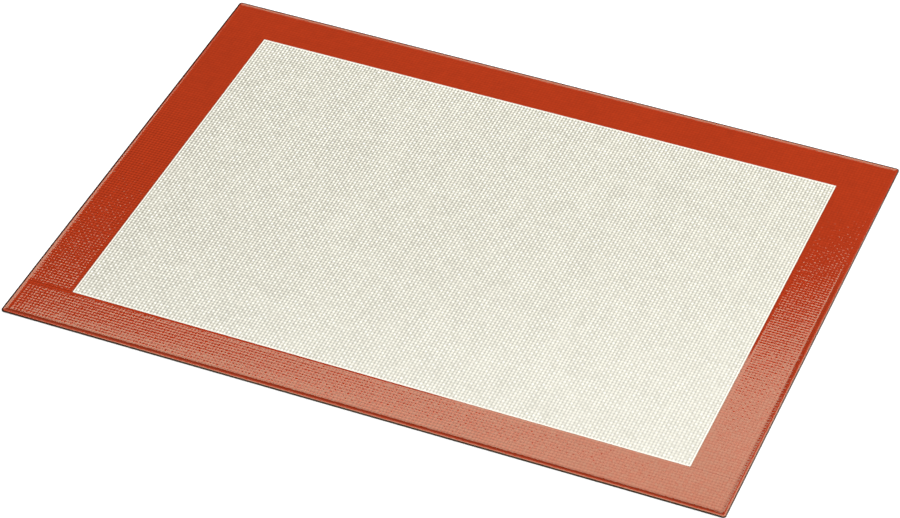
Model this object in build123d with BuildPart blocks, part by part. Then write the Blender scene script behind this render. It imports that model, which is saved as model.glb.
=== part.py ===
from build123d import *
import os

os.makedirs("parts", exist_ok=True)

# Silicone baking mat lying flat, in millimetres, with +Z up.
# The origin is on the underside at the middle of the mat.
# +X runs along the long side and -Y points to the front edge.

# Outline of the whole mat
mat_length = 400.0
mat_width = 300.0

# Coloured border, measured from the outer edge to the pale field
border_width = 28.0

# Laminate: one woven glass cloth between an upper and a lower silicone coat
cloth_thickness = 0.45
coat_thickness = 0.15

# Bead of silicone that seals the cut edge, domed above the upper face. It goes round each
# square corner of the cloth at the same width, and two beads meet halfway round it.
bead_width = 1.8
bead_rise = 0.15
foot_radius = 0.12
half_corner_angle = 45.0

# Shallow groove that the upper border has just inside the bead
groove_width = 1.6
groove_depth = 0.07

# Extra length of every cutting solid past the face that it cuts
cut_overrun = 1.0

# Heights
cloth_bottom = coat_thickness
cloth_top = cloth_bottom + cloth_thickness
mat_thickness = cloth_top + coat_thickness
bead_height = mat_thickness + bead_rise

# Plan sizes
core_length = mat_length - 2 * bead_width
core_width = mat_width - 2 * bead_width
field_length = mat_length - 2 * border_width
field_width = mat_width - 2 * border_width
strip_width = border_width - bead_width

# Places of the four border strips: the front and back strips run the whole length,
# and the left and right strips lie between them.
strip_centre_x = (field_length + strip_width) / 2
strip_centre_y = (field_width + strip_width) / 2
border_strips = {
    "front": ((0, -strip_centre_y), (core_length, strip_width)),
    "back": ((0, strip_centre_y), (core_length, strip_width)),
    "left": ((-strip_centre_x, 0), (strip_width, field_width)),
    "right": ((strip_centre_x, 0), (strip_width, field_width)),
}

# Corners of the laminate, from the front left one round to the back left one
corner_shares = [(-0.5, -0.5), (0.5, -0.5), (0.5, 0.5), (-0.5, 0.5)]
laminate_corners = [(x * core_length, y * core_width, 0) for x, y in corner_shares]


def keep(piece, name):
    """Labels a finished piece and writes its file."""
    piece.label = name
    export_step(piece, f"parts/{name}.step")


# Woven glass cloth, cut square and sealed in on every side
with BuildPart() as glass_cloth:
    with BuildSketch(Plane.XY.offset(cloth_bottom)):
        Rectangle(core_length, core_width)
    extrude(amount=cloth_thickness)
keep(glass_cloth.part, "glass_cloth")

# Clear silicone over the field, on both faces of the cloth
for face, height in {"upper": cloth_top, "lower": 0}.items():
    with BuildPart() as field_coat:
        with BuildSketch(Plane.XY.offset(height)):
            Rectangle(field_length, field_width)
        extrude(amount=coat_thickness)
    keep(field_coat.part, f"{face}_field_coat")

# Coloured silicone strips round the field, on the underside: plain bands
for side, (centre, size) in border_strips.items():
    with BuildPart() as lower_strip:
        with BuildSketch(Plane.XY):
            with Locations(centre):
                Rectangle(*size)
        extrude(amount=coat_thickness)
    keep(lower_strip.part, f"lower_{side}_border")

# The same strips on the upper face, with the groove along the outer edge of the laminate
for side, (centre, size) in border_strips.items():
    with BuildPart() as upper_strip:
        with BuildSketch(Plane.XY.offset(cloth_top)):
            with Locations(centre):
                Rectangle(*size)
        extrude(amount=coat_thickness)
        with BuildSketch(Plane.XY.offset(mat_thickness - groove_depth)):
            Rectangle(core_length + 2 * cut_overrun, core_width + 2 * cut_overrun)
            Rectangle(core_length - 2 * groove_width, core_width - 2 * groove_width, mode=Mode.SUBTRACT)
        extrude(amount=groove_depth + cut_overrun, mode=Mode.SUBTRACT)
    keep(upper_strip.part, f"upper_{side}_border")

# Edge beads: a flat foot, an upright outer side and a domed crown. Each bead is given by its
# middle, the way out of the mat, the way along the edge and the length of its straight run.
bead_sides = {
    "front": ((0, -core_width / 2, 0), (0, -1, 0), (1, 0, 0), core_length),
    "right": ((core_length / 2, 0, 0), (1, 0, 0), (0, 1, 0), core_width),
    "back": ((0, core_width / 2, 0), (0, 1, 0), (-1, 0, 0), core_length),
    "left": ((-core_length / 2, 0, 0), (-1, 0, 0), (0, -1, 0), core_width),
}
for number, (side, (middle, outward, along, run)) in enumerate(bead_sides.items()):
    near_corner = laminate_corners[number]
    far_corner = laminate_corners[(number + 1) % len(laminate_corners)]
    with BuildPart() as edge_bead:
        with BuildSketch(Plane(middle, x_dir=outward, z_dir=[-part for part in along])) as section:
            with BuildLine():
                Polyline((0, mat_thickness), (0, 0), (bead_width, 0), (bead_width, mat_thickness))
                ThreePointArc(
                    (bead_width, mat_thickness), (bead_width / 2, bead_height), (0, mat_thickness)
                )
            make_face()
            foot = section.vertices().group_by(Axis.Y)[0].sort_by(Axis.X)[-1]
            fillet(foot, radius=foot_radius)
        extrude(amount=run / 2, both=True)
        ends = edge_bead.faces().sort_by(Axis(middle, along))
        revolve(ends[-1], axis=Axis(far_corner, (0, 0, 1)), revolution_arc=half_corner_angle)
        revolve(ends[0], axis=Axis(near_corner, (0, 0, -1)), revolution_arc=half_corner_angle)
    keep(edge_bead.part, f"{side}_edge_bead")

print(f"mat {mat_length} x {mat_width} x {bead_height:.2f} mm, laminate {mat_thickness:.2f} mm thick")
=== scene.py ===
import math

import bpy
import numpy as np
from mathutils import Matrix, Vector


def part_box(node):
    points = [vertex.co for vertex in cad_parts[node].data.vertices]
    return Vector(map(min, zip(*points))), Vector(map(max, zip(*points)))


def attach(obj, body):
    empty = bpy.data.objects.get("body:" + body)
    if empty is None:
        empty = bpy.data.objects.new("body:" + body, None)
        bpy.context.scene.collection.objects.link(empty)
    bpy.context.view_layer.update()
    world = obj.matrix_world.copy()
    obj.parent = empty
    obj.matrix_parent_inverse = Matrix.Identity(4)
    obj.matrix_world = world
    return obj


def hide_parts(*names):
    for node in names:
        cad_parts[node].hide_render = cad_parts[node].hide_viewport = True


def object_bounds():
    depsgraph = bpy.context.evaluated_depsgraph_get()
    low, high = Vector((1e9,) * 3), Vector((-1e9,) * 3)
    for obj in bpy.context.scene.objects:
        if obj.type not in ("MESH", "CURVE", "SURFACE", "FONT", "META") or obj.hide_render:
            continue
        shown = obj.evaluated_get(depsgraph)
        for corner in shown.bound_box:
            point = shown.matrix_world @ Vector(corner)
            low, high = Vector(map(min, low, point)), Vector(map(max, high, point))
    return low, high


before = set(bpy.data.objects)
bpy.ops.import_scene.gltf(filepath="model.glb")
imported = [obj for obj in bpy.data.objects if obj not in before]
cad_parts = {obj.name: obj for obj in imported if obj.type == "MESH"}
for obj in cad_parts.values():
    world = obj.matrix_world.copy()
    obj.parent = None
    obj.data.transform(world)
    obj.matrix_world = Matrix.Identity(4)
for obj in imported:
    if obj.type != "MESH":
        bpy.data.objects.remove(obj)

cad_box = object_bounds()

# Silicone baking mat, dressed round its CAD frame. Lengths are in metres, and small lengths are
# written in millimetres times MM. Shader nodes reckon in millimetres.
MM = 0.001

# Sizes read from the frame
MAT_LOW, MAT_HIGH = cad_box
CORE_LOW, CORE_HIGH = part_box("glass_cloth")
FIELD_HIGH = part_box("upper_field_coat")[1]
BEAD_WIDTH = MAT_HIGH.x - CORE_HIGH.x

# The mat's sides, each with the side across from it
ACROSS = {"front": "back", "back": "front", "left": "right", "right": "left"}

# Colours, as the share of red, green and blue that comes back
CLEAR_OVER_GLASS = (0.980, 0.959, 0.873, 1)
CLEAR_OVER_GAP = (0.975, 0.932, 0.685, 1)
RED_CROWN = (0.500, 0.0438, 0.0100, 1)
RED_HOLLOW = (0.190, 0.0155, 0.0033, 1)
RED_PLAIN = (0.397, 0.0344, 0.0078, 1)
RED_RIM = (0.270, 0.040, 0.014, 1)
RED_BEAD = (0.430, 0.038, 0.010, 1)
# Painted shade for the ditch beside the bead
RED_DITCH = (0.190, 0.024, 0.008, 1)
# Painted shade for the bead's unlit outer side and its contact shadow
BEAD_SHADE = (0.045, 0.020, 0.012, 1)
GLASS_YARN = (0.86, 0.86, 0.83, 1)
GLASS_GAP = (0.45, 0.46, 0.43, 1)
WHITE = (1, 1, 1, 1)

# How silicone mirrors: the coloured kind tints what it mirrors
SILICONE_IOR = 1.41
FIELD_GLOSS_IOR = 1.44
FIELD_GLOSS_ROUGHNESS = 0.18
BORDER_IOR = 1.45
GLOSS_TINT = (0.67, 1.0, 0.63, 1)

# Roughness and gloss of the field: the roughness runs between two values with the cell's random
# tone, and the gloss from the hollows to the crowns, over silicone that mirrors little
FIELD_ROUGHNESS = (0.40, 0.50)
FIELD_GLOSS = (1.0, 0.03)
FIELD_UNDER_GLOSS = 0.1

# Of the border: the roughness runs with the wear, and the gloss from the crowns to the hollows,
# less a part for the cell's random tone and for the painted shade in the ditch
BORDER_ROUGHNESS = (0.02, 0.05)
BORDER_GLOSS = (0.63, 0.35)
CELL_GLOSS_LOSS = 0.10
SHADE_GLOSS_LOSS = 0.30

# Of the bead, where the roughness runs with the patches and the gloss with the painted shade, and
# of the glass cloth
BEAD_ROUGHNESS = (0.09, 0.15)
BEAD_GLOSS = (0.5, 0.1)
CLOTH_ROUGHNESS = 0.6
CLOTH_GLOSS = 0.4

# How much darker the clear silicone is at each part of the weave, and lighter where it leans to
# the light
WEAVE_DARKNESS = {"Column Gap": 0.64, "Row Gap": 0.46, "Pit": 0.35, "Lean": -0.12}

# The border's hollows lie mostly between the rows
ROW_HOLLOW_SHARE = 0.6

# Patterns of noise: patches to the millimetre, their layers of detail and its roughness
FIELD_SMALL_PATCHES = (0.55, 1.0)
FIELD_WIDE_PATCHES = (0.03, 3.0)
FAINT_PATCHES = (0.07, 3.0)
MARKS = (0.11, 2.0)
BORDER_SMALL_PATCHES = (0.16, 2.0)
BORDER_WIDE_PATCHES = (0.025, 3.0)
WEAR = (0.09, 5.0, 0.6)
BEAD_PATCHES = (0.35, 3.0)
BEAD_GRAIN = (0.8, 3.0)

# How far the tone swings about 1 with the random tones and with the patches
FIELD_CELL_SWING = 0.10
FIELD_YARN_SWING = 0.03
FIELD_SMALL_SWING = 0.045
FIELD_WIDE_SWING = 0.015
BORDER_CELL_SWING = 0.03
BORDER_SMALL_SWING = 0.06
BORDER_WIDE_SWING = 0.05
BEAD_SWING = 0.08

# Where the field's weave is fainter, and its faint marks: the noise at which they begin and are
# full, and their strength
FAINT_FADE = (0.40, 0.75)
FAINT_SHARE = 0.18
MARK_FADE = (0.74, 0.80)
MARK_DARKNESS = 0.10

# The even tones that the field's weave is mixed with in its faint patches, towards the front
# right corner as painted reflection of the softbox's glare, and in its plain margin
FAINT_TONE = 0.78
GLARE_TONE = 0.70
MARGIN_TONE = 0.90

# The weave shows less towards the mat's front right corner: painted reflection, standing in for
# the softbox's glare that evens out the weave there. On the border it shows less towards the back
# too. The places are in millimetres: x less y for the corner, and y for the back.
FIELD_GLARE_FADE = (-250.0, 300.0)
FIELD_GLARE = 0.34
BORDER_GLARE_FADE = (180.0, 290.0)
BORDER_BACK_FADE = (0.0, 80.0)
BORDER_FADED = 0.65

# Places on the mat where a colour changes, in millimetres outside the field's edge
PLAIN_MARGIN = (-1.0, -0.6)
RIM_FADE = (0.55, 0.15)

# Painted shade in the ditch: millimetres in from the bead where it begins and where it is full,
# and how much of it there is along the front and the right side. The right side's ditch is gone
# behind the first of two places and whole in front of the second, in millimetres behind the middle.
DITCH_FADE = (2.1, 1.1)
FRONT_DITCH_SHADE = 0.8
RIGHT_DITCH_SHADE = 0.4
RIGHT_DITCH_END = (65.0, 30.0)

# Painted shade on the bead, for its unlit outer side and its contact shadow: millimetres short of
# its outer side where it begins and where it is full, and how far the patches push it up. It
# reaches further up the bead at the back and left, and less far at the front and right.
SHADE_START = 0.60
SHADE_FULL = 0.33
SHADE_PATCHES = 0.3
SHADE_BACK_LEFT = 0.37
SHADE_FRONT = -0.20
SHADE_RIGHT = -0.15

# Fine relief that is left to bump: the filaments in the yarns, the bead's grain, and the cloth
FILAMENT_RELIEF = 0.006 * MM
BEAD_RELIEF = 0.012 * MM
CLOTH_RELIEF = 0.05 * MM

# Plain weave of the glass cloth: warp yarns run along Y and weft yarns along X
WARP_YARNS = 220
WEFT_YARNS = 150
WARP_PITCH = (MAT_HIGH.x - MAT_LOW.x) / WARP_YARNS
WEFT_PITCH = (MAT_HIGH.y - MAT_LOW.y) / WEFT_YARNS

# How the drawn weave rounds off: the powers by which a crown falls across and along its yarn, and
# by which gaps and pits deepen, and the filament lines across a yarn and their changes along it
CROWN_ACROSS = 2.0
CROWN_ALONG = 4.0
GAP_POWER = 2.0
DRAWN_PIT_POWER = 3.0
FILAMENTS_ACROSS = 11.0
FILAMENTS_ALONG = 0.9

# Relief that the yarns give to the silicone over them. A rounding is the power by which a crown
# falls along its yarn, TALLEST is the highest crown as a share of a middling one, and smooth
# bands lie at a share of the crown's height.
FIELD_CROWN = 0.022 * MM
FIELD_PIT = 0.012 * MM
BORDER_CROWNS = {"front": 0.038 * MM, "back": 0.030 * MM, "left": 0.039 * MM, "right": 0.028 * MM}
BORDER_PIT = 0.004 * MM
LOWER_CROWN = 0.020 * MM
CROWN_VARIATION = 0.22
TALLEST = 1.4
FIELD_ROUNDING = 4
BORDER_ROUNDING = 2
PIT_POWER = 4
WEFT_LEAD = 0.15
SMOOTH_LEVEL = -0.7

# Where four cells of the weave meet, the coat lies lower by a random number of strays: so many on
# average, and so many at most
CORNER_STRAY = 0.005 * MM
CORNER_AVERAGE = 1.5
CORNER_MOST = 3

# How far yarns wander sideways: each by itself, at stations this many yarns apart, and many
# together in slow bends. A bend is a wave across the yarns, pushed to and fro and fading in and
# out along them, in radians for each yarn passed.
STATION_GAP = 12.0
YARN_WANDER = 0.10 * MM
SLOW_WANDER = 0.14 * MM
WANDER_FADE = 4.0 * MM
WARP_BEND = {"wave": 0.071, "push": 1.3, "push_wave": 0.043, "fade_wave": 0.057, "start": 0.6}
WEFT_BEND = {"wave": 0.083, "push": 1.1, "push_wave": 0.037, "fade_wave": 0.049, "start": 2.1}

# Seeds of the random tables
WARP_SEED = 3
WEFT_SEED = 4
CROWN_SEED = 5
CORNER_SEED = 6

# Grid samples for each yarn, one way across, and how near two grid lines may lie, in samples
FIELD_SAMPLES = 3
BORDER_SAMPLES = 4
LOWER_SAMPLES = 2
NEAREST_LINES = 0.3

# Widths of the smooth margins: round the field, on the border beside the field, at the border's
# other edges and at the front strip's left end. The weave fades out over MARGIN_FADE, and the
# border's broad margins fall towards their edge.
FIELD_MARGIN = 0.9 * MM
BORDER_MARGIN = 2.0 * MM
SEAM_MARGIN = 0.3 * MM
CORNER_MARGIN = 2.4 * MM
MARGIN_FADE = 0.5 * MM
MARGIN_FALL = 0.035 * MM

# Groove beside the bead: how far in from it the bottom lies on each side, how much deeper the ditch
# is there, and how soon the ditch rises again; how far the broad dish reaches on and its depth;
# how soon both start at the bead; and the most that the border dips, weave and all
GROOVE_OUTER = {"front": 1.7 * MM, "back": 0.4 * MM, "left": 0.4 * MM, "right": 1.8 * MM}
GROOVE_DITCH = {"front": 0.060 * MM, "back": 0, "left": 0, "right": 0.060 * MM}
GROOVE_RISE = 0.6 * MM
GROOVE_INNER = 8.0 * MM
GROOVE_DISH = 0.045 * MM
GROOVE_LIP = 0.4 * MM
DEEPEST = 0.130 * MM

# Finer grid lines beside the bead
GROOVE_LINE_STEP = 0.25 * MM
GROOVE_LINES = 11

# Map for the bake: the share of its height for the flat faces, the gap round each row of the
# grid, and the gaps at the ends and the sides of each flat face's lane
FLAT_SHARE = 0.05
ROW_GAP = 0.004
LANE_END = 0.01
LANE_GAP = 0.15

# Edges of the meshes that turn by more degrees than this are sharp
SHARP_ANGLE = 40

# Camera, found from the mat's four corners in the photograph
CAMERA_AZIMUTH = 21.440
CAMERA_ELEVATION = 39.806
CAMERA_ROLL = 1.049
CAMERA_DISTANCE = 1.9055
CAMERA_PAN = (-0.00652, -0.01083)
LENS_MM = 141.77
SENSOR_MM = 36.0
NEAREST_SEEN = 0.05

# Light: two level softboxes, given by their ranges to the camera's right and ahead of it, their
# turn in degrees and their brightness, and a dim sky that is pale near the horizon when mirrored
SOFTBOX_HEIGHT = 1.5
BACK_SOFTBOX = ((-0.535, 1.8), (0.4, 1.657), 0.8, 4.6)
FRONT_SOFTBOX = ((-0.9, 1.3), (-1.6, -0.3), 0.0, 2.68)
DIM_SKY = 0.06
HORIZON_FADE = (0.36, 0.16)

# Floor
FLOOR_HALF = 6.0
FLOOR_DROP = 0.02 * MM
FLOOR_COLOUR = (0.8, 0.8, 0.8, 1)
FLOOR_GLOW = 0.4


# Camera, light and floor


def camera_axes():
    """The camera's right, up and backward directions."""
    azimuth, elevation, roll = map(math.radians, (CAMERA_AZIMUTH, CAMERA_ELEVATION, CAMERA_ROLL))
    back = Vector((
        math.sin(azimuth) * math.cos(elevation),
        -math.cos(azimuth) * math.cos(elevation),
        math.sin(elevation),
    ))
    right = Vector((math.cos(azimuth), math.sin(azimuth), 0))
    up = back.cross(right)
    return (
        right * math.cos(roll) + up * math.sin(roll),
        up * math.cos(roll) - right * math.sin(roll),
        back,
    )


def make_camera():
    right, up, back = camera_axes()
    place = back * CAMERA_DISTANCE + right * CAMERA_PAN[0] + up * CAMERA_PAN[1]
    data = bpy.data.cameras.new("photo_camera")
    data.lens = LENS_MM
    data.sensor_width = SENSOR_MM
    data.clip_start = NEAREST_SEEN
    camera = bpy.data.objects.new("photo_camera", data)
    turn = Matrix((right, up, back)).transposed().to_4x4()
    camera.matrix_world = Matrix.Translation(place) @ turn
    bpy.context.scene.collection.objects.link(camera)
    bpy.context.scene.camera = camera


def make_softbox(name, right_range, ahead_range, turn, radiance):
    """A level rectangle of light, placed along the camera's rightward and forward directions."""
    azimuth = math.radians(CAMERA_AZIMUTH)
    rightward = Vector((math.cos(azimuth), math.sin(azimuth), 0))
    ahead = Vector((-math.sin(azimuth), math.cos(azimuth), 0))
    width = right_range[1] - right_range[0]
    depth = ahead_range[1] - ahead_range[0]
    data = bpy.data.lights.new(name, "AREA")
    data.shape = "RECTANGLE"
    data.size = width
    data.size_y = depth
    data.energy = math.pi * width * depth * radiance
    softbox = bpy.data.objects.new(name, data)
    softbox.location = rightward * sum(right_range) / 2 + ahead * sum(ahead_range) / 2
    softbox.location.z = SOFTBOX_HEIGHT
    softbox.rotation_euler = (0, 0, azimuth + math.radians(turn))
    softbox.visible_camera = False
    bpy.context.scene.collection.objects.link(softbox)


def mirrored_path(tree):
    """The light path's outputs, and whether the ray has been mirrored or sent through something."""
    path = tree.add("ShaderNodeLightPath").outputs
    return path, tree.math("MAXIMUM", path["Is Glossy Ray"], path["Is Transmission Ray"])


def make_world():
    """Dim above, pale near the horizon where something shiny mirrors it, and white to the camera."""
    world = bpy.data.worlds.new("studio")
    bpy.context.scene.world = world
    world.use_nodes = True
    tree = Tree(world.node_tree)
    direction = tree.add("ShaderNodeTexCoord").outputs["Generated"]
    band = tree.ramp(tree.axes(direction)["Z"], *HORIZON_FADE)
    path, mirrored = mirrored_path(tree)
    white = tree.math("MAXIMUM", path["Is Camera Ray"], tree.math("MULTIPLY", mirrored, band))
    dim = tree.add("ShaderNodeBackground", Color=WHITE, Strength=DIM_SKY).outputs[0]
    pale = tree.add("ShaderNodeBackground", Color=WHITE, Strength=1.0).outputs[0]
    mix = tree.add("ShaderNodeMixShader")
    for part, socket in zip((white, dim, pale), mix.inputs):
        tree.link(part, socket)
    tree.output("ShaderNodeOutputWorld", mix.outputs[0])


def make_floor():
    """A wide white floor that shows white to the camera, except in the mat's shadow."""
    mesh = bpy.data.meshes.new("studio_floor")
    near, far = -FLOOR_HALF, FLOOR_HALF
    corners = [(x, y, -FLOOR_DROP) for x, y in ((near, near), (far, near), (far, far), (near, far))]
    mesh.from_pydata(corners, [], [(0, 1, 2, 3)])
    floor = bpy.data.objects.new("studio_floor", mesh)
    bpy.context.scene.collection.objects.link(floor)
    material = bpy.data.materials.new("studio_white")
    material.use_nodes = True
    tree = Tree(material.node_tree)
    path, mirrored = mirrored_path(tree)
    seen = tree.math("MAXIMUM", path["Is Camera Ray"], mirrored)
    diffuse = tree.add("ShaderNodeBsdfDiffuse", Color=FLOOR_COLOUR).outputs[0]
    glow = tree.add("ShaderNodeEmission", Color=WHITE)
    tree.link(tree.math("MULTIPLY", seen, FLOOR_GLOW), glow.inputs["Strength"])
    both = tree.add("ShaderNodeAddShader")
    tree.link(diffuse, both.inputs[0])
    tree.link(glow.outputs[0], both.inputs[1])
    tree.output("ShaderNodeOutputMaterial", both.outputs[0])
    mesh.materials.append(material)


# Node trees


class Tree:
    """Adds and links nodes in one node tree."""

    def __init__(self, node_tree):
        self.nodes = node_tree.nodes
        self.links = node_tree.links
        self.nodes.clear()

    def link(self, source, target):
        self.links.new(source, target)

    def set(self, socket, value):
        """Gives a socket a link or a number."""
        if isinstance(value, bpy.types.NodeSocket):
            self.link(value, socket)
        else:
            socket.default_value = value

    def add(self, kind, **inputs):
        node = self.nodes.new(kind)
        for name, value in inputs.items():
            self.set(node.inputs[name.replace("_", " ")], value)
        return node

    def axes(self, vector):
        """The X, Y and Z parts of a vector."""
        return self.add("ShaderNodeSeparateXYZ", Vector=vector).outputs

    def math(self, operation, *values):
        node = self.nodes.new("ShaderNodeMath")
        node.operation = operation
        for socket, value in zip(node.inputs, values):
            self.set(socket, value)
        return node.outputs[0]

    def product(self, first, *others):
        """The product of some numbers."""
        for other in others:
            first = self.math("MULTIPLY", first, other)
        return first

    def ramp(self, value, zero_at, one_at):
        """0 at zero_at and 1 at one_at, smooth between them."""
        node = self.nodes.new("ShaderNodeMapRange")
        node.interpolation_type = "SMOOTHSTEP"
        self.set(node.inputs["Value"], value)
        low, high = sorted((zero_at, one_at))
        node.inputs["From Min"].default_value = low
        node.inputs["From Max"].default_value = high
        node.inputs["To Min"].default_value = float(low == one_at)
        node.inputs["To Max"].default_value = float(high == one_at)
        return node.outputs["Result"]

    def mix(self, share, first, second):
        """A mix of two colours. The node's colour sockets have numbers, as their names repeat."""
        node = self.nodes.new("ShaderNodeMix")
        node.data_type = "RGBA"
        self.set(node.inputs["Factor"], share)
        self.set(node.inputs[6], first)
        self.set(node.inputs[7], second)
        return node.outputs[2]

    def scale_colour(self, colour, by):
        """A colour or a place times a number."""
        node = self.nodes.new("ShaderNodeVectorMath")
        node.operation = "SCALE"
        self.set(node.inputs[0], colour)
        self.set(node.inputs["Scale"], by)
        return node.outputs[0]

    def output(self, kind, shader):
        self.link(shader, self.nodes.new(kind).inputs[0])


def noise(tree, vector, scale, detail=2.0, roughness=0.5):
    """Smooth noise from 0 to 1."""
    node = tree.add("ShaderNodeTexNoise", Vector=vector, Scale=scale, Detail=detail, Roughness=roughness)
    return node.outputs["Fac"]


def spread(tree, share, at_zero, at_one):
    """A 0 to 1 value as a number that runs evenly from at_zero to at_one."""
    return tree.math("MULTIPLY_ADD", share, at_one - at_zero, at_zero)


def around_one(tree, value, swing):
    """A 0 to 1 value as a factor that swings about 1."""
    return tree.math("MULTIPLY_ADD", value, 2 * swing, 1 - swing)


def darker(tree, share, darkness):
    """A factor that falls from 1 by the darkness."""
    return tree.math("MULTIPLY_ADD", share, -darkness, 1.0)


def blend(tree, value, other, share):
    """A value mixed with a number, by a share from 0 to 1."""
    return tree.math("MULTIPLY_ADD", tree.math("SUBTRACT", other, value), share, value)


def weave_group():
    """Node group that draws one plain weave from the yarn coordinates: the raised crowns, the
    pits between yarns, random tones for yarns and cells, and the fine lines of the filaments.
    A cell is one crossing of two yarns, and a and b are the place in it, from its middle."""
    group = bpy.data.node_groups.new("plain_weave", "ShaderNodeTree")
    tree = Tree(group)
    place = tree.add("ShaderNodeUVMap")
    place.uv_map = "weave"
    axes = tree.axes(place.outputs[0])
    u, v = axes["X"], axes["Y"]
    column, row = tree.math("FLOOR", u), tree.math("FLOOR", v)
    a = tree.math("SUBTRACT", tree.math("FRACT", u), 0.5)
    b = tree.math("SUBTRACT", tree.math("FRACT", v), 0.5)
    weft_over = tree.math("PINGPONG", tree.math("ADD", column, row), 1.0)
    warp_over = tree.math("SUBTRACT", 1.0, weft_over)

    def choose(if_warp, if_weft):
        kept = tree.math("MULTIPLY", if_warp, warp_over)
        return tree.math("MULTIPLY_ADD", if_weft, weft_over, kept)

    def power(value, exponent):
        return tree.math("POWER", tree.math("ABSOLUTE", tree.math("MULTIPLY", value, 2.0)), exponent)

    def random_tone(number):
        node = tree.add("ShaderNodeTexWhiteNoise")
        node.noise_dimensions = "1D"
        tree.link(number, node.inputs["W"])
        return node.outputs["Value"]

    def striations(across_yarn, along_yarn):
        fine = tree.math("MULTIPLY", across_yarn, FILAMENTS_ACROSS)
        slow = tree.math("MULTIPLY", along_yarn, FILAMENTS_ALONG)
        return noise(tree, tree.add("ShaderNodeCombineXYZ", X=fine, Y=slow).outputs[0], 1.0)

    across = tree.math("SUBTRACT", 1.0, power(choose(a, b), CROWN_ACROSS))
    along = tree.math("SUBTRACT", 1.0, power(choose(b, a), CROWN_ALONG))
    cell = tree.add("ShaderNodeCombineXYZ", X=column, Y=row).outputs[0]
    made = {
        "Crown": tree.math("MULTIPLY", across, along),
        "Pit": tree.math("MULTIPLY", power(a, DRAWN_PIT_POWER), power(b, DRAWN_PIT_POWER)),
        "Column Gap": power(a, GAP_POWER),
        "Row Gap": power(b, GAP_POWER),
        "Lean": tree.math("COSINE", tree.math("MULTIPLY", tree.math("ADD", u, v), math.pi)),
        "Yarn Tone": choose(random_tone(column), random_tone(tree.math("ADD", row, 0.5))),
        "Cell Tone": tree.add("ShaderNodeTexWhiteNoise", Vector=cell).outputs["Value"],
        "Filaments": choose(striations(u, v), striations(v, u)),
    }
    for name in made:
        group.interface.new_socket(name, in_out="OUTPUT", socket_type="NodeSocketFloat")
    end = tree.nodes.new("NodeGroupOutput")
    for name, value in made.items():
        tree.link(value, end.inputs[name])
    return group


# Materials


def new_material(name):
    """A new material with its tree and its Principled shader."""
    material = bpy.data.materials.new(name)
    material.use_nodes = True
    tree = Tree(material.node_tree)
    shader = tree.nodes.new("ShaderNodeBsdfPrincipled")
    tree.output("ShaderNodeOutputMaterial", shader.outputs[0])
    return material, tree, shader


def mirror_red(shader):
    """The coloured silicone tints what it mirrors."""
    shader.inputs["IOR"].default_value = BORDER_IOR
    shader.inputs["Specular Tint"].default_value = GLOSS_TINT


def millimetres(tree):
    """The place on the mat, in millimetres."""
    place = tree.add("ShaderNodeTexCoord").outputs["Object"]
    return tree.scale_colour(place, 1 / MM)


def weave_in(tree, group):
    """The outputs of the weave's node group, in a material's tree."""
    node = tree.nodes.new("ShaderNodeGroup")
    node.node_tree = group
    return node.outputs


def bump(tree, height, distance):
    return tree.add("ShaderNodeBump", Height=height, Distance=distance).outputs[0]


def outside(tree, high):
    """How far the place lies outside a rectangle round the mat's middle, along X and along Y, in
    millimetres: negative inside it. high is the rectangle's back right corner."""
    reach = tree.add("ShaderNodeVectorMath", Vector=millimetres(tree))
    reach.operation = "ABSOLUTE"
    axes = tree.axes(reach.outputs[0])
    past_x = tree.math("SUBTRACT", axes["X"], high.x / MM)
    past_y = tree.math("SUBTRACT", axes["Y"], high.y / MM)
    return past_x, past_y


def outside_field(tree):
    """How far the place lies outside the field's edge, in millimetres: negative inside it."""
    return tree.math("MAXIMUM", *outside(tree, FIELD_HIGH))


def towards_corner(tree, fade):
    """A share that grows towards the mat's front right corner."""
    axes = tree.axes(millimetres(tree))
    return tree.ramp(tree.math("SUBTRACT", axes["X"], axes["Y"]), *fade)


def ditch_shade(tree):
    """The share of painted shade on the border, which darkens the ditch beside the bead."""
    axes = tree.axes(millimetres(tree))
    from_front = tree.math("SUBTRACT", axes["Y"], CORE_LOW.y / MM)
    from_right = tree.math("SUBTRACT", CORE_HIGH.x / MM, axes["X"])
    front = tree.product(tree.ramp(from_front, *DITCH_FADE), FRONT_DITCH_SHADE)
    right = tree.product(tree.ramp(from_right, *DITCH_FADE), RIGHT_DITCH_SHADE)
    right = tree.product(right, tree.ramp(axes["Y"], *RIGHT_DITCH_END))
    return tree.math("MAXIMUM", front, right)


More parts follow.
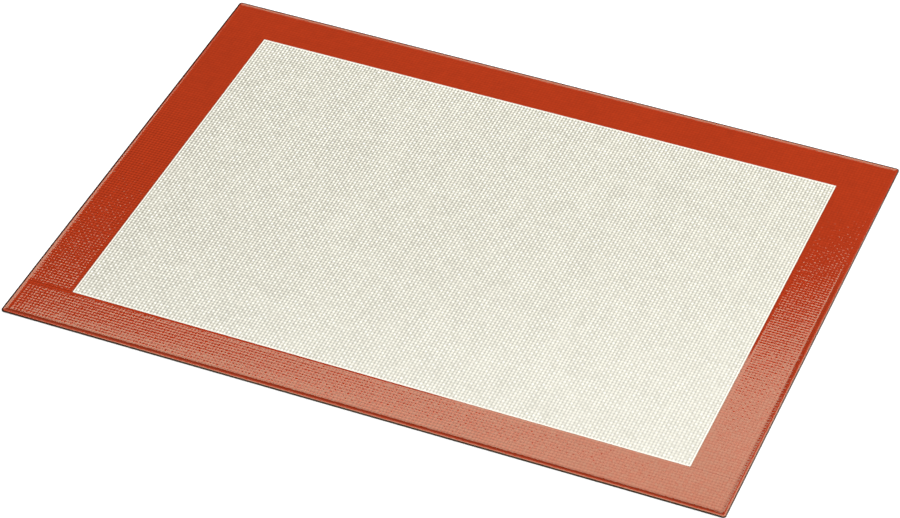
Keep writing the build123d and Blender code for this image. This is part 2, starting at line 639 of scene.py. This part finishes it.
def clear_silicone(group):
    """Clear silicone over white glass: pale crowns, grey hollows where the cloth is open, and a
    gloss that shows in the hollows. The weave is fainter in patches and has a few faint marks."""
    material, tree, shader = new_material("clear_silicone")
    weave = weave_in(tree, group)
    place = millimetres(tree)
    cloth = tree.product(
        *[darker(tree, weave[part], darkness) for part, darkness in WEAVE_DARKNESS.items()],
        around_one(tree, weave["Cell Tone"], FIELD_CELL_SWING),
        around_one(tree, noise(tree, place, *FIELD_SMALL_PATCHES), FIELD_SMALL_SWING),
    )
    faint = tree.product(tree.ramp(noise(tree, place, *FAINT_PATCHES), *FAINT_FADE), FAINT_SHARE)
    cloth = blend(tree, cloth, FAINT_TONE, faint)
    # Painted reflection: towards the front right corner the weave is evened out, as by the softbox's glare
    glare_share = tree.product(towards_corner(tree, FIELD_GLARE_FADE), FIELD_GLARE)
    cloth = blend(tree, cloth, GLARE_TONE, glare_share)
    cloth = blend(tree, cloth, MARGIN_TONE, tree.ramp(outside_field(tree), *PLAIN_MARGIN))
    marks = tree.ramp(noise(tree, place, *MARKS), *MARK_FADE)
    cloth = tree.product(cloth, darker(tree, marks, MARK_DARKNESS))
    tone = tree.product(
        around_one(tree, weave["Yarn Tone"], FIELD_YARN_SWING),
        around_one(tree, noise(tree, place, *FIELD_WIDE_PATCHES), FIELD_WIDE_SWING),
    )
    tint = tree.mix(cloth, CLEAR_OVER_GAP, CLEAR_OVER_GLASS)
    tree.link(tree.scale_colour(tint, tree.product(cloth, tone)), shader.inputs["Base Color"])
    tree.link(spread(tree, weave["Cell Tone"], *FIELD_ROUGHNESS), shader.inputs["Roughness"])
    gloss = spread(tree, tree.math("POWER", weave["Crown"], 2.0), *FIELD_GLOSS)
    tree.link(gloss, shader.inputs["Coat Weight"])
    tree.link(bump(tree, weave["Filaments"], FILAMENT_RELIEF), shader.inputs["Normal"])
    shader.inputs["Coat Roughness"].default_value = FIELD_GLOSS_ROUGHNESS
    shader.inputs["Coat IOR"].default_value = FIELD_GLOSS_IOR
    shader.inputs["Specular IOR Level"].default_value = FIELD_UNDER_GLOSS
    shader.inputs["IOR"].default_value = SILICONE_IOR
    return material


def border_silicone(group):
    """Orange red silicone border, glossy, with the weave showing through as slight changes of tone."""
    material, tree, shader = new_material("border_silicone")
    weave = weave_in(tree, group)
    place = millimetres(tree)
    column_hollow = tree.product(weave["Column Gap"], 1 - ROW_HOLLOW_SHARE)
    hollow = tree.math("MULTIPLY_ADD", weave["Row Gap"], ROW_HOLLOW_SHARE, column_hollow)
    towards_back = tree.ramp(tree.axes(place)["Y"], *BORDER_BACK_FADE)
    # Painted reflection: towards the front right corner the weave is evened out, as by the softbox's glare;
    # towards the back the border is plainer
    plain = tree.math("MAXIMUM", towards_back, towards_corner(tree, BORDER_GLARE_FADE))
    # Painted shade darkens the ditch beside the bead, which also mirrors less there
    painted_shade = ditch_shade(tree)
    tint = tree.mix(hollow, RED_CROWN, RED_HOLLOW)
    tint = tree.mix(tree.product(plain, BORDER_FADED), tint, RED_PLAIN)
    tint = tree.mix(tree.ramp(outside_field(tree), *RIM_FADE), tint, RED_RIM)
    tint = tree.mix(painted_shade, tint, RED_DITCH)
    tone = tree.product(
        around_one(tree, weave["Cell Tone"], BORDER_CELL_SWING),
        around_one(tree, noise(tree, place, *BORDER_WIDE_PATCHES), BORDER_WIDE_SWING),
        around_one(tree, noise(tree, place, *BORDER_SMALL_PATCHES), BORDER_SMALL_SWING),
    )
    tree.link(tree.scale_colour(tint, tone), shader.inputs["Base Color"])
    tree.link(spread(tree, noise(tree, place, *WEAR), *BORDER_ROUGHNESS), shader.inputs["Roughness"])
    gloss = spread(tree, hollow, *BORDER_GLOSS)
    gloss = tree.math("MULTIPLY_ADD", weave["Cell Tone"], -CELL_GLOSS_LOSS, gloss)
    gloss = tree.math("MULTIPLY_ADD", painted_shade, -SHADE_GLOSS_LOSS, gloss)
    tree.link(gloss, shader.inputs["Specular IOR Level"])
    mirror_red(shader)
    return material


def edge_silicone():
    """The bead's silicone: the border's colour on the crown, darkened down the outer side by painted shade.
    """
    material, tree, shader = new_material("edge_silicone")
    place = millimetres(tree)
    patches = noise(tree, place, *BEAD_PATCHES)
    past_core = [tree.math("MAXIMUM", past, 0.0) for past in outside(tree, CORE_HIGH)]
    squares = [tree.math("POWER", past, 2.0) for past in past_core]
    from_core = tree.math("SQRT", tree.math("ADD", *squares))
    level = tree.math("MULTIPLY_ADD", patches, SHADE_PATCHES, from_core)
    axes = tree.axes(place)
    in_front = tree.math("LESS_THAN", axes["Y"], CORE_LOW.y / MM)
    on_right = tree.math("GREATER_THAN", axes["X"], CORE_HIGH.x / MM)
    behind = tree.math("GREATER_THAN", axes["Y"], CORE_HIGH.y / MM)
    on_left = tree.math("LESS_THAN", axes["X"], CORE_LOW.x / MM)
    behind_or_left = tree.math("MAXIMUM", behind, on_left)
    level = tree.math("MULTIPLY_ADD", in_front, SHADE_FRONT, level)
    level = tree.math("MULTIPLY_ADD", on_right, SHADE_RIGHT, level)
    level = tree.math("MULTIPLY_ADD", behind_or_left, SHADE_BACK_LEFT, level)
    # Painted shade down the bead's outer side, for its unlit side and contact shadow, most at the back and
    # left
    painted_shade = tree.ramp(level, BEAD_WIDTH / MM - SHADE_START, BEAD_WIDTH / MM - SHADE_FULL)
    tint = tree.mix(painted_shade, RED_BEAD, BEAD_SHADE)
    tree.link(tree.scale_colour(tint, around_one(tree, patches, BEAD_SWING)), shader.inputs["Base Color"])
    tree.link(spread(tree, patches, *BEAD_ROUGHNESS), shader.inputs["Roughness"])
    tree.link(spread(tree, painted_shade, *BEAD_GLOSS), shader.inputs["Specular IOR Level"])
    tree.link(bump(tree, noise(tree, place, *BEAD_GRAIN), BEAD_RELIEF), shader.inputs["Normal"])
    mirror_red(shader)
    return material


def glass_weave():
    """White glass cloth, drawn from the place because the CAD solid has no yarn coordinates."""
    material, tree, shader = new_material("glass_cloth")
    axes = tree.axes(tree.add("ShaderNodeTexCoord").outputs["Object"])

    def from_middle(axis, pitch):
        share = tree.math("FRACT", tree.math("DIVIDE", axis, pitch))
        return tree.math("ABSOLUTE", tree.math("MULTIPLY_ADD", share, 2.0, -1.0))

    gap = tree.product(from_middle(axes["X"], WARP_PITCH), from_middle(axes["Y"], WEFT_PITCH))
    tint = tree.mix(tree.math("POWER", gap, 2.0), GLASS_YARN, GLASS_GAP)
    tree.link(tint, shader.inputs["Base Color"])
    tree.link(bump(tree, tree.math("SUBTRACT", 1.0, gap), CLOTH_RELIEF), shader.inputs["Normal"])
    shader.inputs["Roughness"].default_value = CLOTH_ROUGHNESS
    shader.inputs["Specular IOR Level"].default_value = CLOTH_GLOSS
    return material


# Relief of the coats. u and v are yarn coordinates: the place in yarns from the mat's front left
# corner. The random tables have spare entries past the mat's edges.


def yarn_offsets(count, other_count, seed):
    """How far each yarn strays sideways, at stations along it, from -1 to 1."""
    stations = int(other_count / STATION_GAP) + 2
    return np.random.default_rng(seed).uniform(-1, 1, (count + 2, stations))


WARP_STRAY = yarn_offsets(WARP_YARNS, WEFT_YARNS, WARP_SEED)
WEFT_STRAY = yarn_offsets(WEFT_YARNS, WARP_YARNS, WEFT_SEED)
CELL_CROWNS = np.random.default_rng(CROWN_SEED).uniform(-1, 1, (WARP_YARNS + 2, WEFT_YARNS + 2))
CORNER_LEVELS = np.random.default_rng(CORNER_SEED).normal(0, 1, (WARP_YARNS + 3, WEFT_YARNS + 3))


def between(table, x, y):
    """Reads a table at fractional places, with straight lines between its entries. The places
    stay just short of the last entry, so that each has one after it."""
    just_short = 1.001
    x = np.clip(x, 0, table.shape[0] - just_short)
    y = np.clip(y, 0, table.shape[1] - just_short)
    i, j = x.astype(int), y.astype(int)
    s, t = x - i, y - j
    near = table[i, j] * (1 - t) + table[i, j + 1] * t
    far = table[i + 1, j] * (1 - t) + table[i + 1, j + 1] * t
    return near * (1 - s) + far * s


def slow_bend(across, along, wave, push, push_wave, fade_wave, start):
    """Sideways shift that many yarns share, in metres, at a place across and along them."""
    pushed = push * np.sin(along * push_wave)
    return SLOW_WANDER * np.sin(across * wave + pushed) * np.cos(along * fade_wave + start)


def wander(u, v):
    """Sideways shift of the yarns at the yarn coordinates, in metres."""
    shift_x = YARN_WANDER * between(WARP_STRAY, u + 0.5, v / STATION_GAP)
    shift_y = YARN_WANDER * between(WEFT_STRAY, v + 0.5, u / STATION_GAP)
    shift_x += slow_bend(u, v, **WARP_BEND)
    shift_y += slow_bend(v, u, **WEFT_BEND)
    return shift_x, shift_y


def weave_height(u, v, crown_height, pit_depth, rounding, lead):
    """Height of the coat over the cloth: 0 on the tallest crowns and negative below them. lead is
    how much taller the weft crowns are than the middle height, and the warp crowns lower. a and b
    are the place in the cell, from its middle."""
    nudge = 1e-6
    column, row = np.floor(u + nudge), np.floor(v + nudge)
    a, b = u - column - 0.5, v - row - 0.5
    warp_over = (column + row) % 2 < 1
    across, along = np.where(warp_over, a, b), np.where(warp_over, b, a)
    crown = (1 - (2 * across) ** 2) * (1 - (2 * along) ** rounding)
    size = 1 + CROWN_VARIATION * CELL_CROWNS[column.astype(int) + 1, row.astype(int) + 1]
    size = size * np.where(warp_over, 1 - lead, 1 + lead)
    pit = np.abs(2 * a) ** PIT_POWER * np.abs(2 * b) ** PIT_POWER
    strays = np.clip(between(CORNER_LEVELS, u, v) - CORNER_AVERAGE, -CORNER_MOST, 0)
    return crown_height * (crown * size - TALLEST) - pit_depth * pit + CORNER_STRAY * strays


def smooth(value, low, high):
    """0 below low and 1 above high, smooth between them."""
    share = np.clip((value - low) / (high - low), 0, 1)
    return share * share * (3 - 2 * share)


def groove(x, y):
    """How far the border dips beside the bead: a broad dish along every side, with a ditch at the
    bead's foot along the front side and the front part of the right side."""
    from_beads = {
        "left": x - CORE_LOW.x,
        "right": CORE_HIGH.x - x,
        "front": y - CORE_LOW.y,
        "back": CORE_HIGH.y - y,
    }
    gone, whole = RIGHT_DITCH_END
    ditch_shares = {"right": smooth(-y, -gone * MM, -whole * MM)}
    dips = []
    for side, from_bead in from_beads.items():
        outer = GROOVE_OUTER[side]
        bank = smooth(from_bead, 0, outer)
        dish = bank * smooth(-from_bead, -outer - GROOVE_INNER, -outer)
        ditch = bank * smooth(-from_bead, -outer - GROOVE_RISE, -outer) * ditch_shares.get(side, 1)
        dips.append(GROOVE_DISH * dish + GROOVE_DITCH[side] * ditch)
    nearest = np.minimum.reduce(list(from_beads.values()))
    return np.maximum.reduce(dips) * smooth(nearest, 0, GROOVE_LIP)


def relief(crown_height, pit_depth, margins, grooved):
    """A height function for one coat. margins gives, for each side of the piece that has a smooth
    margin, its axis, the line it starts from, the way into the piece, its width and its fall."""
    flat = SMOOTH_LEVEL * crown_height
    rounding = BORDER_ROUNDING if grooved else FIELD_ROUNDING
    lead = WEFT_LEAD if grooved else 0

    def height_at(x, y, u, v):
        height = weave_height(u, v, crown_height, pit_depth, rounding, lead)
        rough_share = np.ones_like(x)
        fall = np.zeros_like(x)
        for axis, line, inward, width, depth in margins:
            inside = ((x if axis == 0 else y) - line) * inward
            rough_share *= smooth(inside, width - MARGIN_FADE / 2, width + MARGIN_FADE / 2)
            fall += depth * np.clip(1 - inside / width, 0, 1)
        height = flat + (height - flat) * rough_share - fall
        if grooved:
            height = np.maximum(height - groove(x, y), -DEEPEST)
        return height

    return height_at


# Meshes of the coats


def grid_lines(low, high, pitch, samples, origin, fine=()):
    """Grid lines across a piece: its two edges, the samples of each yarn between them and any
    finer lines. An odd number of samples sits on the yarn's middle."""
    step = pitch / samples
    phase = step / 2 if samples % 2 else 0
    first = math.ceil((low - origin - phase) / step)
    last = math.floor((high - origin - phase) / step)
    apart = step * NEAREST_LINES
    inner = [origin + phase + step * n for n in range(first, last + 1)]
    inner = [x for x in inner if not any(abs(x - f) < apart for f in fine)]
    kept = [x for x in inner + list(fine) if low + apart < x < high - apart]
    return np.array([low, *sorted(kept), high])


def coat_faces(x_count, y_count):
    """The faces of a coat's mesh, as numbers of vertices: those of the grid on its open face, and
    then its four sides and the flat face on the cloth."""
    number = np.arange(x_count * y_count).reshape(y_count, x_count)
    near, far = number[:-1], number[1:]
    grid = np.stack([near[:, :-1], near[:, 1:], far[:, 1:], far[:, :-1]], -1).reshape(-1, 4)
    a, b, c, d = range(number.size, number.size + 4)
    flat = [
        [a, b, *number[0, ::-1].tolist()],
        [b, c, *number[::-1, -1].tolist()],
        [c, d, *number[-1, :].tolist()],
        [d, a, *number[:, 0].tolist()],
        [a, d, c, b],
    ]
    return grid.tolist(), flat


def grid_places(xs, ys):
    """Where the grid's faces lie on the bake's map. A long strip is folded into rows, so that the
    map's pixels are about square on it. Gives the four corners of every face."""
    length, width = xs[-1] - xs[0], ys[-1] - ys[0]
    turned = width > length
    long_places, short_places = (ys, xs) if turned else (xs, ys)
    rows = max(1, round(math.sqrt(max(length, width) / min(length, width))))
    cuts = np.linspace(0, len(long_places) - 1, rows + 1).astype(int)
    long_low = np.empty(len(long_places) - 1)
    long_high = np.empty_like(long_low)
    row_of = np.empty(len(long_low), int)
    for number, (start, stop) in enumerate(zip(cuts[:-1], cuts[1:])):
        share = (long_places[start:stop + 1] - long_places[start]) / (long_places[stop] - long_places[start])
        share = ROW_GAP + share * (1 - 2 * ROW_GAP)
        long_low[start:stop], long_high[start:stop] = share[:-1], share[1:]
        row_of[start:stop] = number
    across = (short_places - short_places[0]) / (short_places[-1] - short_places[0])
    row_height = (1 - FLAT_SHARE) / rows
    across = ROW_GAP + across * (row_height - 2 * ROW_GAP)
    count_long, count_short = len(long_low), len(short_places) - 1
    corners = np.empty((count_short, count_long, 4, 2))
    base = FLAT_SHARE + row_of * row_height
    order = ((0, 0), (1, 0), (1, 1), (0, 1))
    for corner, (at_far_x, at_far_y) in enumerate(order):
        far_long, far_short = (at_far_y, at_far_x) if turned else (at_far_x, at_far_y)
        corners[:, :, corner, 0] = (long_high if far_long else long_low)[None, :]
        corners[:, :, corner, 1] = base[None, :] + across[far_short:count_short + far_short][:, None]
    if turned:
        corners = corners.transpose(1, 0, 2, 3)
    return corners.reshape(-1, 4, 2)


def flat_places(faces, vertices):
    """Where the front, right, back and left sides and then the flat face on the cloth lie on the
    bake's map: each in a lane of its own."""
    low = vertices.min(0)
    shares = (vertices - low) / (vertices.max(0) - low)
    lane_height = FLAT_SHARE / len(faces)
    places = []
    for lane, (side, face) in enumerate(zip(("front", "right", "back", "left", "flat"), faces)):
        x, y, z = shares[np.array(face)].T
        along = x if side in ("front", "back") else y
        up = x if side == "flat" else z
        along = LANE_END + (1 - 2 * LANE_END) * along
        up = lane_height * (lane + LANE_GAP + (1 - 2 * LANE_GAP) * up)
        places.append(np.stack([along, up], -1))
    return places


def add_map(mesh, name, places):
    """Gives a mesh a map, from the place of every corner of its faces."""
    layer = mesh.uv_layers.new(name=name)
    layer.uv.foreach_set("vector", places.astype(np.float32).ravel())


def coat_mesh(name, low, high, upper, samples, height_at, fine_x=(), fine_y=()):
    """One coat as a closed mesh in its CAD box: a fine grid with the weave's relief on its open
    face, upright sides, and a flat face on the cloth."""
    xs = grid_lines(low.x, high.x, WARP_PITCH, samples, MAT_LOW.x, fine_x)
    ys = grid_lines(low.y, high.y, WEFT_PITCH, samples, MAT_LOW.y, fine_y)
    x, y = np.meshgrid(xs, ys)
    u, v = (x - MAT_LOW.x) / WARP_PITCH, (y - MAT_LOW.y) / WEFT_PITCH
    from_side_x = np.minimum(x - low.x, high.x - x)
    from_side_y = np.minimum(y - low.y, high.y - y)
    shift_x, shift_y = wander(u, v)
    place_x = x + shift_x * smooth(from_side_x, 0, WANDER_FADE)
    place_y = y + shift_y * smooth(from_side_y, 0, WANDER_FADE)
    height = height_at(x, y, u, v)
    open_z, cloth_z = (high.z + height, low.z) if upper else (low.z - height, high.z)
    grid = np.stack([place_x, place_y, open_z], -1).reshape(-1, 3)
    corners = np.array([(low.x, low.y), (high.x, low.y), (high.x, high.y), (low.x, high.y)])
    vertices = np.vstack([grid, np.c_[corners, np.full(4, cloth_z)]])

    grid_faces, flat_faces = coat_faces(len(xs), len(ys))
    baked = grid_places(xs, ys)
    if not upper:
        grid_faces = [face[::-1] for face in grid_faces]
        flat_faces = [face[::-1] for face in flat_faces]
        baked = baked[:, ::-1]
    mesh = bpy.data.meshes.new(name)
    mesh.from_pydata(vertices.tolist(), [], grid_faces + flat_faces)

    corner_vertices = np.empty(len(mesh.loops), np.int32)
    mesh.loops.foreach_get("vertex_index", corner_vertices)
    yarns = np.vstack([
        np.stack([u, v], -1).reshape(-1, 2),
        (corners - (MAT_LOW.x, MAT_LOW.y)) / (WARP_PITCH, WEFT_PITCH),
    ])
    add_map(mesh, "weave", yarns[corner_vertices])
    add_map(mesh, "OFBake", np.vstack([baked.reshape(-1, 2), *flat_places(flat_faces, vertices)]))
    mesh.uv_layers.active = mesh.uv_layers["weave"]

    mesh.polygons.foreach_set("use_smooth", [True] * len(grid_faces) + [False] * len(flat_faces))
    mesh.set_sharp_from_angle(angle=math.radians(SHARP_ANGLE))
    mesh.update()
    piece = bpy.data.objects.new(name, mesh)
    bpy.context.scene.collection.objects.link(piece)
    return piece


# Pieces


def dress(piece, node, material):
    """Gives a piece its material and its slot, on the body, in place of a CAD node."""
    piece.data.materials.append(material)
    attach(piece, "root")
    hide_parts(node)


def edges_of(low, high):
    """The four edges of a piece, each as its axis, its line and the way into the piece."""
    return {
        "left": (0, low.x, 1),
        "right": (0, high.x, -1),
        "front": (1, low.y, 1),
        "back": (1, high.y, -1),
    }


def groove_lines(low, high, core_low, core_high):
    """The finer grid lines beside the bead that cross a piece, one way across."""
    steps = np.arange(1, GROOVE_LINES + 1) * GROOVE_LINE_STEP
    return [place for place in (*(core_low + steps), *(core_high - steps)) if low < place < high]


def make_field(face, material):
    """The clear silicone on one face of the mat, with a narrow smooth margin all round."""
    node = f"{face}_field_coat"
    low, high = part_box(node)
    margins = [(*edge, FIELD_MARGIN, 0) for edge in edges_of(low, high).values()]
    upper = face == "upper"
    samples = FIELD_SAMPLES if upper else LOWER_SAMPLES
    crown_height = FIELD_CROWN if upper else LOWER_CROWN
    height_at = relief(crown_height, FIELD_PIT if upper else 0, margins, False)
    piece = coat_mesh(f"{face}_field_silicone", low, high, upper, samples, height_at)
    dress(piece, node, material)


def make_border(face, side, material):
    """One border strip. Its edge beside the field is a smooth band, its other edges have narrow
    ones, and the front strip has a broader one where it runs on past the left strip's end."""
    node = f"{face}_{side}_border"
    low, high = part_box(node)
    upper = face == "upper"
    edges = edges_of(low, high)
    beside_field = edges.pop(ACROSS[side])
    margins = [(*beside_field, BORDER_MARGIN, MARGIN_FALL if upper else 0)]
    margins += [(*edge, SEAM_MARGIN, 0) for edge in edges.values()]
    if upper and side == "front":
        margins.append((*edges["left"], CORNER_MARGIN, MARGIN_FALL))
    samples = BORDER_SAMPLES if upper else LOWER_SAMPLES
    crown_height = BORDER_CROWNS[side] if upper else LOWER_CROWN
    height_at = relief(crown_height, BORDER_PIT if upper else 0, margins, upper)
    fine_x = groove_lines(low.x, high.x, CORE_LOW.x, CORE_HIGH.x) if upper else ()
    fine_y = groove_lines(low.y, high.y, CORE_LOW.y, CORE_HIGH.y) if upper else ()
    piece = coat_mesh(f"{face}_{side}_silicone", low, high, upper, samples, height_at, fine_x, fine_y)
    dress(piece, node, material)


def cover_node(node, material):
    """Gives a CAD node that keeps its shape a better material."""
    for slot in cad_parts[node].material_slots:
        slot.material = material


make_camera()
make_softbox("back_softbox", *BACK_SOFTBOX)
make_softbox("front_softbox", *FRONT_SOFTBOX)
make_world()
make_floor()

plain_weave = weave_group()
clear = clear_silicone(plain_weave)
red = border_silicone(plain_weave)
edge_red = edge_silicone()
for face in ("upper", "lower"):
    make_field(face, clear)
    for side in ACROSS:
        make_border(face, side, red)
for side in ACROSS:
    cover_node(f"{side}_edge_bead", edge_red)
cover_node("glass_cloth", glass_weave())

bpy.context.scene.view_settings.view_transform = "Standard"
